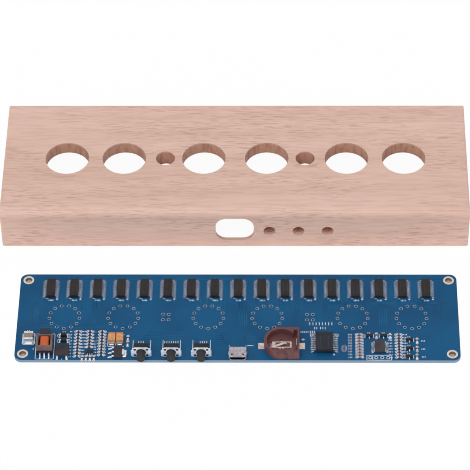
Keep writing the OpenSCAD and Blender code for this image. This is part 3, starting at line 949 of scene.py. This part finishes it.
@dataclass
class Tracks:
    """The copper tracks, which show faintly through the resist."""

    board: Board
    width: float = 0.28
    rise: float = 0.012
    behind_row: float = 1.0
    aside: float = 0.9
    far: float = 34.3
    bundles: tuple[Bundle, ...] = (
        Bundle(8, (((-43.6, 8.6, 0.8, 1.05), (-4.4, 8.6, -0.5, 1.05)),
                   ((-4.4, 8.6, -0.5, 1.05), (3.2, 7.0, 0.0, 1.05), (9.6, 7.0, 0.0, 1.05)))),
        Bundle(3, (((-92.6, 17.6, 0.0, 0.9), (-45.0, 17.6, -1.0, 0.9)),
                   ((40.0, 31.6, 0.0, 0.8), (91.0, 31.6, 0.0, 0.8)),
                   ((-91.0, 46.6, 0.0, 0.7), (91.0, 46.6, 0.0, 0.7)))),
        Bundle(5, (((84.4, 13.6, 0.8, -1.0), (84.4, 31.0, 0.8, 0.6)),
                   ((61.0, 20.0, 0.8, 0.0), (61.0, 32.0, 0.8, 0.0)),
                   ((0.6, 19.0, 0.8, 0.0), (0.6, 33.0, 0.8, 0.0)))),
        *(Bundle(3, (((x, 19.0, 0.8, 1.0), (x, 33.0, 0.8, 0.0)),))
          for x in (-88.0, -63.0, 25.0, 37.0)))

    def build(self) -> None:
        """Lays tracks from the tube pins towards the drivers, and the bundles."""
        at = self.board.at
        pins = islands("tube_pin_plating").mean(axis=1)[:, :2]
        behind = pins[pins[:, 1] > float(np.median(pins[:, 1])) + self.behind_row]
        end = at(0, self.far)[1]
        paths = [[(x, y + 1), (x + self.aside, y + 1 + self.aside), (x + self.aside, end)]
                 for x, y in behind]
        for bundle in self.bundles:
            for k in range(bundle.count):
                for path in bundle.paths:
                    paths.append([at(x + k * dx, y + k * dy) for x, y, dx, dy in path])
        points, quads = strips(paths, self.width, self.board.base, self.rise)
        add_piece("copper_tracks", points, quads, TrackResist().dress(),
                  self.board.body, self.board.slot)


@dataclass(frozen=True)
class DashRow:
    """A row of plain upright dashes where a reference mark would be, placed from a corner."""

    x: float
    y: float
    count: int
    step: float
    tall: float


@dataclass(frozen=True)
class ColumnMarks:
    """Reference dashes beside each small part of a column, at places from its middle."""

    column: float
    places: tuple[float, ...]
    count: int


@dataclass
class Pen:
    """Collects the runs and dots of a print, in mm."""

    lines: list[list[Point]] = field(default_factory=list)
    dots: list[Point] = field(default_factory=list)

    def line(self, *points: Point) -> None:
        """A path of straight runs through the points."""
        self.lines.append(list(points))

    def frame(self, left: float, front: float, right: float, back: float) -> None:
        """A closed rectangle."""
        self.line((left, front), (right, front), (right, back), (left, back), (left, front))

    def dashes(self, x: float, y: float, row: DashRow) -> None:
        """A row of dashes.

        Args:
            x: of the point that the row is placed from.
            y: of the same point.
            row: the dashes.
        """
        for i in range(row.count):
            along = x + row.x + i * row.step
            self.line((along, y + row.y), (along, y + row.y + row.tall))

    def oval(self, centre: Point, half_x: float, half_y: float, sides: int = 14) -> None:
        """A closed oval: centre plus half_x times the cosine and half_y times the sine.

        Args:
            centre: its middle.
            half_x: half its length along X.
            half_y: half its length along Y.
            sides: how many runs it has.
        """
        turns = [2 * math.pi * i / sides for i in range(sides + 1)]
        self.line(*((centre[0] + half_x * math.cos(t), centre[1] + half_y * math.sin(t))
                    for t in turns))


@dataclass
class WhitePrint:
    """The board's white print: bars, dots, frames, brackets and plain dashes."""

    board: Board
    width: float = 0.3
    rise: float = 0.02
    dot: float = 0.42
    driver_row: DashRow = DashRow(1.3, -1.6, 4, 0.6, 0.6)
    clock_rows: tuple[DashRow, ...] = (
        DashRow(-2.4, 5.8, 8, 1.36, 1.4), DashRow(-0.3, 3.5, 2, 0.9, 1.0),
        DashRow(2.2, 3.5, 3, 1.0, 1.0), DashRow(-2.2, 1.3, 3, 0.9, 1.0),
        DashRow(-6.2, 1.4, 5, 0.75, 0.7))
    oval: Point = (1.0, 1.7)
    switch_back: float = 11.2
    switch_label: float = 9.7
    column_reach: float = 0.3
    switch_rows: tuple[DashRow, ...] = (
        DashRow(1.9, 0.0, 3, 0.95, 1.0), DashRow(0.2, 0.0, 7, 0.95, 1.0),
        DashRow(2.6, 0.0, 4, 0.95, 1.0))
    columns: tuple[ColumnMarks, ...] = (
        ColumnMarks(-68.4, (-3.5, 2.2), 2), ColumnMarks(-63.4, (2.2,), 2),
        ColumnMarks(-58.1, (-3.1,), 2), ColumnMarks(52.2, (-4.6,), 3),
        ColumnMarks(69.1, (-4.3, 2.2), 3), ColumnMarks(76.8, (2.0,), 3))

    def build(self) -> None:
        """Prints all the marks as one piece."""
        pen = Pen()
        self.mark_chips(pen)
        self.mark_header(pen)
        self.mark_controls(pen)
        self.mark_power_stage(pen)
        self.mark_small_parts(pen)
        base = self.board.base
        points, quads = strips(pen.lines, self.width, base, self.rise)
        round_points, round_quads = discs(np.array(pen.dots), self.dot, base, self.rise)
        add_piece("silk_marks", np.concatenate([points, round_points]),
                  np.concatenate([quads, round_quads + len(points)]), Finish.SILK_WHITE.dress(),
                  self.board.body, self.board.slot)

    def mark_chips(self, pen: Pen) -> None:
        """Marks the drivers and the clock chip.

        Args:
            pen: takes the marks.
        """
        for chip in outlines("driver_chip_bodies"):
            pen.dots.append((chip.right + 0.9, chip.front - 0.6))
            pen.dashes(chip.left, chip.front, self.driver_row)
            pen.line((chip.left + 0.1, chip.front - 0.35), (chip.left + 0.8, chip.front - 0.35))
        clock = outlines("clock_chip_body")[0]
        pen.dots.append((clock.right + 0.3, clock.front - 0.7))
        for x, inward in ((clock.left - 2.2, 1), (clock.right + 2.2, -1)):
            end = (x + inward * 1.6, clock.back + 0.6)
            pen.line((x, clock.back - 0.6), (x, clock.back + 0.6), end)
            pen.line((x + inward * 0.8, clock.back - 0.3), end)
        for row in self.clock_rows:
            pen.dashes(clock.left, clock.back, row)
        centre = (clock.right + 4.7, (clock.front + clock.back) / 2 - 2.4)
        for scale in (1.0, 0.5):
            pen.oval(centre, self.oval[0] * scale, self.oval[1] * scale)

    def mark_header(self, pen: Pen) -> None:
        """Frames the pin strip, with a bar after its first pin.

        Args:
            pen: takes the marks.
        """
        boxes = islands("header_pin_plating")
        strip = Outline.of(np.array([boxes[:, 0].min(axis=0), boxes[:, 1].max(axis=0)]))
        front, back = strip.front - 0.5, strip.back + 0.5
        pen.frame(strip.left - 0.6, front, strip.right + 0.6, back)
        pen.line((strip.left + 1.9, front), (strip.left + 1.9, back))

    def mark_controls(self, pen: Pen) -> None:
        """Marks the switches, the cell holder and the socket.

        Args:
            pen: takes the marks.
        """
        back, label = (self.board.at(0, y)[1] for y in (self.switch_back, self.switch_label))
        for switch, row in zip(outlines("switch_housings"), self.switch_rows):
            for x in (switch.left - 0.5, switch.right + 0.5):
                pen.line((x, switch.back - 1.2), (x, back))
            pen.dashes(switch.left, label, row)
        cell = outlines("cell_holder")[0]
        x, y = cell.right + 1.6, cell.back - 3.6
        pen.line((cell.right + 0.9, y), (cell.right + 2.3, y))
        pen.line((x, cell.back - 4.2), (x, cell.back - 3.0))
        socket = Outline.of(box_of("usb_shell"))
        y = socket.back + 2.3
        pen.line((socket.right + 0.1, y), (socket.right + 2.6, y))

    def mark_power_stage(self, pen: Pen) -> None:
        """Marks the supply's large parts.

        Args:
            pen: takes the marks.
        """
        boost = outlines("boost_capacitor_body")[0]
        for inset in (0.0, 0.35):
            pen.frame(boost.left - 0.8 + inset, boost.front - 1.0 + inset,
                      boost.right + 0.8 - inset, boost.back + 1.0 - inset)
        pen.dashes(boost.left, boost.back, DashRow(1.0, 1.9, 2, 0.9, 0.7))
        coil = Outline.of(box_of("transformer_bobbin"))
        left, right = coil.left - 0.5, coil.right + 0.5
        front, back = coil.front - 2.2, coil.back + 1.2
        pen.line((coil.left + 1.0, back), (left, back), (left, front),
                 (right, front), (right, back), (coil.right - 1.0, back))
        pen.dashes(coil.left, (coil.front + coil.back) / 2, DashRow(-1.6, -2.2, 1, 0.9, 0.8))
        switcher = outlines("power_transistor_body")[0]
        middle = (switcher.left + switcher.right) / 2
        for x in (switcher.left + 0.6, middle, switcher.right - 0.6):
            pen.dashes(x, switcher.front, DashRow(0.0, -1.1, 1, 0.9, 0.35))
        for tantalum in outlines("tantalum_capacitor_bodies"):
            left, right = tantalum.left - 0.1, tantalum.right + 0.1
            front, back = tantalum.front - 1.4, tantalum.back + 0.7
            pen.line((left, back), (right, back))
            pen.line((left, back), (left, front), (right, front))
            pen.dashes(tantalum.left, tantalum.back, DashRow(0.9, 1.3, 2, 0.8, 0.7))
        diodes = outlines("diode_bodies")
        for diode in diodes:
            for x, inward in ((diode.left - 1.4, 1), (diode.right + 1.4, -1)):
                pen.line((x + inward * 0.9, diode.front - 0.1), (x, diode.front + 0.3),
                         (x, diode.back - 0.3), (x + inward * 0.9, diode.back + 0.1))
        middle = (min(d.left for d in diodes) + max(d.right for d in diodes)) / 2
        pen.dashes(middle, max(d.back for d in diodes), DashRow(-0.5, 0.9, 2, 0.9, 0.6))

    def mark_small_parts(self, pen: Pen) -> None:
        """Slanted brackets at both ends of each small part, and the columns' reference dashes.

        Args:
            pen: takes the marks.
        """
        small = islands("chip_resistor_bodies")
        for low, high in small:
            x, y = (low[:2] + high[:2]) / 2
            along_x = high[0] - low[0] > high[1] - low[1]
            for side in (-1, 1):
                near, far = side * 1.15, side * 1.75
                for slant in (-1, 1):
                    if along_x:
                        pen.line((x + near, y + slant * 0.5), (x + far, y + slant * 0.12))
                    else:
                        pen.line((x + slant * 0.55, y + near), (x + slant * 0.12, y + far))
        centres = small.mean(axis=1)[:, :2]
        for marks in self.columns:
            x = self.board.at(marks.column, 0)[0]
            for _, y in centres[np.abs(centres[:, 0] - x) < self.column_reach]:
                for place in marks.places:
                    pen.dashes(x, y, DashRow(place, -0.2, marks.count, 0.62, 0.38))
        for part in outlines("small_transistor_bodies"):
            pen.dashes(part.left, part.back, DashRow(0.9, 0.9, 2, 0.8, 0.6))
            for x in (part.left - 0.4, part.right + 0.4):
                pen.line((x, part.front - 0.1), (x, part.back + 0.3))


@dataclass(frozen=True)
class Comb:
    """Rows of leads on a chip: their nodes, the pitch and half the width that looks bright."""

    leads: str
    bodies: str
    pitch: float
    core: float


@dataclass
class Chips:
    """The moulded chips, their leads, the solder under them and their faint marks."""

    body: str = "board"
    solder_rise: float = 0.16
    solder_inset: float = 0.05
    solder_reach: float = 0.7
    solder_under: float = 0.9
    square: float = 0.2
    lead_nodes: tuple[tuple[str, str], ...] = (
        ("driver_chip_leads", "driver_chip_bodies"), ("clock_chip_leads", "clock_chip_body"),
        ("controller_chip_leads", "controller_chip_body"),
        ("regulator_chip_leads", "regulator_chip_body"), ("boost_chip_leads", "boost_chip_body"),
        ("small_transistor_leads", "small_transistor_bodies"), ("diode_ends", "diode_bodies"),
        ("power_transistor_leads", "power_transistor_body"))
    combs: tuple[Comb, ...] = (
        Comb("driver_chip_leads", "driver_chip_bodies", 1.27, 0.15),
        Comb("clock_chip_leads", "clock_chip_body", 1.27, 0.13),
        Comb("controller_chip_leads", "controller_chip_body", 0.65, 0.09))
    marked: tuple[str, ...] = ("driver_chip_bodies", "clock_chip_body")
    mark_rows: tuple[float, ...] = (-0.22, 0.22)
    mark_places: tuple[float, ...] = (0.2, 0.3, 0.4, 0.5, 0.6, 0.7)
    mark_size: tuple[float, float, float] = (0.5, 0.12, 0.006)
    mark_turn: float = 1.2

    def build(self) -> None:
        """Dresses bodies and leads, lays the solder and prints the chips."""
        coat(Finish.BLACK_EPOXY.dress(), "driver_chip_bodies", "boost_chip_body",
             "small_transistor_bodies", "diode_bodies")
        coat(Finish.WORN_EPOXY.dress(), "regulator_chip_body", "power_transistor_body")
        coat(Finish.BLUE_EPOXY.dress(), "clock_chip_body")
        coat(Finish.BROWN_EPOXY.dress(), "controller_chip_body")
        combed = {comb.leads for comb in self.combs}
        plain = [leads for leads, _ in self.lead_nodes if leads not in combed]
        coat(Finish.LEAD_TIN.dress(), "power_transistor_tab", *plain)
        for comb in self.combs:
            centre = float(islands(comb.bodies)[..., 1].mean())
            coat(CombLead(comb.leads + "_tin", comb.pitch, centre, comb.core).dress(), comb.leads)
        self.solder_leads()
        self.print_chips()

    def solder_leads(self) -> None:
        """Lays a mound from under each lead's foot to a little beyond its end."""
        lows, highs = [], []
        for leads, bodies in self.lead_nodes:
            centres = islands(bodies).mean(axis=1)[:, :2]
            for low, high in islands(leads)[..., :2]:
                away = from_nearest((low + high) / 2, centres)
                span = high - low
                long = abs(span[0] - span[1]) > self.square
                axis = int(np.argmax(span if long else np.abs(away)))
                a, b = low + self.solder_inset, high - self.solder_inset
                half = span[axis] * 0.5
                back, reach = half * self.solder_under, min(self.solder_reach, half)
                if away[axis] > 0:
                    a[axis], b[axis] = low[axis] + back, high[axis] + reach
                else:
                    a[axis], b[axis] = low[axis] - reach, high[axis] - back
                lows.append(a)
                highs.append(b)
        top = islands("circuit_board")[0][1][2]
        points, quads = mounds(np.array(lows), np.array(highs), top, self.solder_rise)
        solder = Finish.SOLDER.dress()
        smooth(add_piece("lead_solder", points, quads, solder, self.body, "tinned_lead"))

    def print_chips(self) -> None:
        """Prints two faint rows of plain slanted dashes on each marked chip."""
        centres = []
        for low, high in (box for node in self.marked for box in islands(node)):
            for row in self.mark_rows:
                x = (low[0] + high[0]) / 2 + row * (high[0] - low[0]) + 0.125
                for place in self.mark_places:
                    y = low[1] + (high[1] - low[1]) * place + 0.15
                    centres.append((x, y, high[2] - 0.002))
        sizes = np.tile(self.mark_size, (len(centres), 1))
        turns = np.full(len(centres), self.mark_turn)
        points, quads = slabs(np.array(centres), sizes, turns)
        grey = Finish.LASER_GREY.dress()
        add_piece("chip_dashes", points, quads, grey, self.body, "black_epoxy")


@dataclass
class PowerStage:
    """The supply's transformer, capacitors and small parts."""

    body: str = "board"
    fillet: float = 0.4
    fillet_rise: float = 0.2
    inset: float = 0.03
    bar_behind: float = 1.5
    end_nodes: tuple[tuple[str, str], ...] = (
        ("chip_resistor_ends", "chip_resistor_bodies"),
        ("boost_capacitor_ends", "boost_capacitor_body"),
        ("tantalum_capacitor_ends", "tantalum_capacitor_bodies"),
        ("transformer_pins", "transformer_core"))

    def build(self) -> None:
        """Dresses the parts and lays the end caps' solder."""
        coat(Finish.FERRITE.dress(), "transformer_core")
        coat(Finish.BOBBIN.dress(), "transformer_bobbin")
        coat(WoundTape().dress(), "transformer_winding")
        pin = Finish.BRIGHT_PIN.dress()
        coat(pin, *(ends for ends, _ in self.end_nodes))
        coat(Finish.TAN_CERAMIC.dress(), "boost_capacitor_body")
        bar_from = box_of("tantalum_capacitor_bodies").mean(axis=0)[1] + self.bar_behind
        coat(PolarResin().dress(bar_from), "tantalum_capacitor_bodies")
        coat(ChipParts().dress(), "chip_resistor_bodies")
        self.solder_caps(pin)

    def solder_caps(self, metal: bpy.types.Material) -> None:
        """Lays a low mound of solder round each end of the two-ended parts.

        Args:
            metal: its finish.
        """
        lows, highs = [], []
        for ends, bodies in self.end_nodes:
            centres = islands(bodies).mean(axis=1)[:, :2]
            for low, high in islands(ends)[..., :2]:
                away = from_nearest((low + high) / 2, centres)
                axis = int(np.argmax(np.abs(away)))
                a, b = low + self.inset, high - self.inset
                if away[axis] > 0:
                    b[axis] = high[axis] + self.fillet
                else:
                    a[axis] = low[axis] - self.fillet
                lows.append(a)
                highs.append(b)
        top = islands("circuit_board")[0][1][2]
        points, quads = mounds(np.array(lows), np.array(highs), top, self.fillet_rise)
        smooth(add_piece("cap_solder", points, quads, metal, self.body, "solder_cap"))


@dataclass
class Controls:
    """The supply socket, the three side-push switches and the coin cell holder."""

    plungers: tuple[str, ...] = (
        "switch_plunger_left", "switch_plunger_middle", "switch_plunger_right")

    def build(self) -> None:
        """Dresses each part."""
        coat(Shell().dress(box_of("usb_shell")), "usb_shell")
        coat(Finish.BLACK_PLASTIC.dress(), "usb_tongue", "switch_housings")
        coat(Finish.GOLD_STRIP.dress(), "usb_contacts")
        coat(Finish.STEEL_COVER.dress(), "switch_covers")
        coat(Finish.PIN_TIN.dress(), "switch_pins")
        coat(Finish.BUTTON_BLACK.dress(), *self.plungers)
        coat(Finish.RED_BROWN.dress(), "cell_holder")
        coat(Finish.PALE_STRIP.dress(), "cell_minus_contact", "cell_plus_contact")


# ---------- studio ----------


@dataclass
class Studio:
    """A white table, even soft light and the camera of the photograph."""

    camera_from_case: tuple[float, float, float] = (22.26, -841.78, 899.78)
    down: float = 46.672
    aside: float = -1.507
    roll: float = -1.078
    focal: float = 2782.4
    image: int = 470
    sensor: float = 36.0
    far_clip: float = 10.0
    filter_width: float = 1.0
    floor_half: float = 3.0
    floor_white: float = 0.95
    floor_colour: Colour = srgb(250, 250, 250)
    under_board_shade: Colour = srgb(200, 184, 172)
    under_inset: float = 1.0
    white: Colour = (1.0, 1.0, 1.0)
    sky: float = 0.62
    sun: float = 1.25
    sun_width: float = 50.0
    sun_turn: tuple[float, float, float] = (32.0, 0.0, -14.0)

    def build(self) -> None:
        """Sets the table, the light and the camera."""
        self.lay_floor()
        self.light_sky()
        self.light_sun()
        self.place_camera()
        bpy.context.scene.view_settings.view_transform = "Standard"
        bpy.context.scene.cycles.filter_width = self.filter_width

    def lay_floor(self) -> None:
        """Lays a wide table at z = 0, which shows as white but keeps a soft shadow.

        Under the board it stays in shade, and there it is painted a darker warm tint as shade.
        """
        h = self.floor_half
        mesh = bpy.data.meshes.new("table")
        mesh.from_pydata([(-h, -h, 0), (h, -h, 0), (h, h, 0), (-h, h, 0)], [], [(0, 1, 2, 3)])
        g = Graph("white_table")
        low, high = box_of("circuit_board").tolist()
        along, across = ((value - (a + b) / 2).size().below((b - a) / 2 - self.under_inset)
                         for value, a, b in zip((g.x, g.y), low, high))
        covered = along * across
        # Painted shade: the floor under the board, seen through its holes, is tinted darker and
        # warm.
        mesh.materials.append(g.paint(g.mix(covered, self.floor_colour, self.under_board_shade), 0.9))
        share = g.looked_at() * self.floor_white * (1 - covered)
        white = g.node("ShaderNodeEmission", {}, {"Color": self.white, "Strength": 1.0})
        inputs = {0: share, 1: g.shader.outputs[0], 2: white.outputs[0]}
        blend = g.node("ShaderNodeMixShader", {}, inputs)
        g.feed(g.tree.nodes["Material Output"].inputs["Surface"], blend.outputs[0])
        floor = bpy.data.objects.new("table", mesh)
        bpy.context.scene.collection.objects.link(floor)

    def light_sky(self) -> None:
        """Lights evenly from all round, with a white that the camera and reflections see."""
        world = bpy.data.worlds.new("studio")
        bpy.context.scene.world = world
        world.use_nodes = True
        world.node_tree.nodes.clear()
        nodes = Nodes(world.node_tree)
        sky, seen = (nodes.node("ShaderNodeBackground", {}, {"Color": self.white, "Strength": s})
                     for s in (self.sky, 1.0))
        inputs = {0: nodes.looked_at(), 1: sky.outputs[0], 2: seen.outputs[0]}
        blend = nodes.node("ShaderNodeMixShader", {}, inputs)
        nodes.node("ShaderNodeOutputWorld", {}, {"Surface": blend.outputs[0]})

    def light_sun(self) -> None:
        """Adds one wide soft sun from the front."""
        lamp = bpy.data.lights.new("soft_sun", "SUN")
        lamp.energy = self.sun
        lamp.angle = math.radians(self.sun_width)
        sun = bpy.data.objects.new("soft_sun", lamp)
        sun.rotation_euler = tuple(math.radians(v) for v in self.sun_turn)
        bpy.context.scene.collection.objects.link(sun)

    def place_camera(self) -> None:
        """Stands the camera as the photograph's perspective was solved."""
        p, y, r = (math.radians(v) for v in (self.down, self.aside, self.roll))
        ahead = np.array([math.sin(y) * math.cos(p), math.cos(y) * math.cos(p), -math.sin(p)])
        right = np.array([math.cos(y), -math.sin(y), 0.0])
        up = np.cross(right, ahead)
        right, up = (right * math.cos(r) + up * math.sin(r),
                     -right * math.sin(r) + up * math.cos(r))
        data = bpy.data.cameras.new("photo")
        data.sensor_width = self.sensor
        data.lens = self.focal / self.image * self.sensor
        data.clip_end = self.far_clip
        camera = bpy.data.objects.new("photo", data)
        bpy.context.scene.collection.objects.link(camera)
        turn = Matrix((right, up, -ahead)).transposed().to_4x4()
        x, y, z = self.camera_from_case
        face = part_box("wooden_case")[0][1]
        camera.matrix_world = Matrix.Translation((x * MM, y * MM + face, z * MM)) @ turn
        bpy.context.scene.camera = camera


def main() -> None:
    logging.basicConfig(level=logging.INFO, format="%(message)s")
    board = Board()
    for part in (Case(), board, Tracks(board), WhitePrint(board), Chips(), PowerStage(),
                 Controls(), Studio()):
        part.build()
        log.info("built %s", type(part).__name__)


if __name__ == "__main__":
    main()
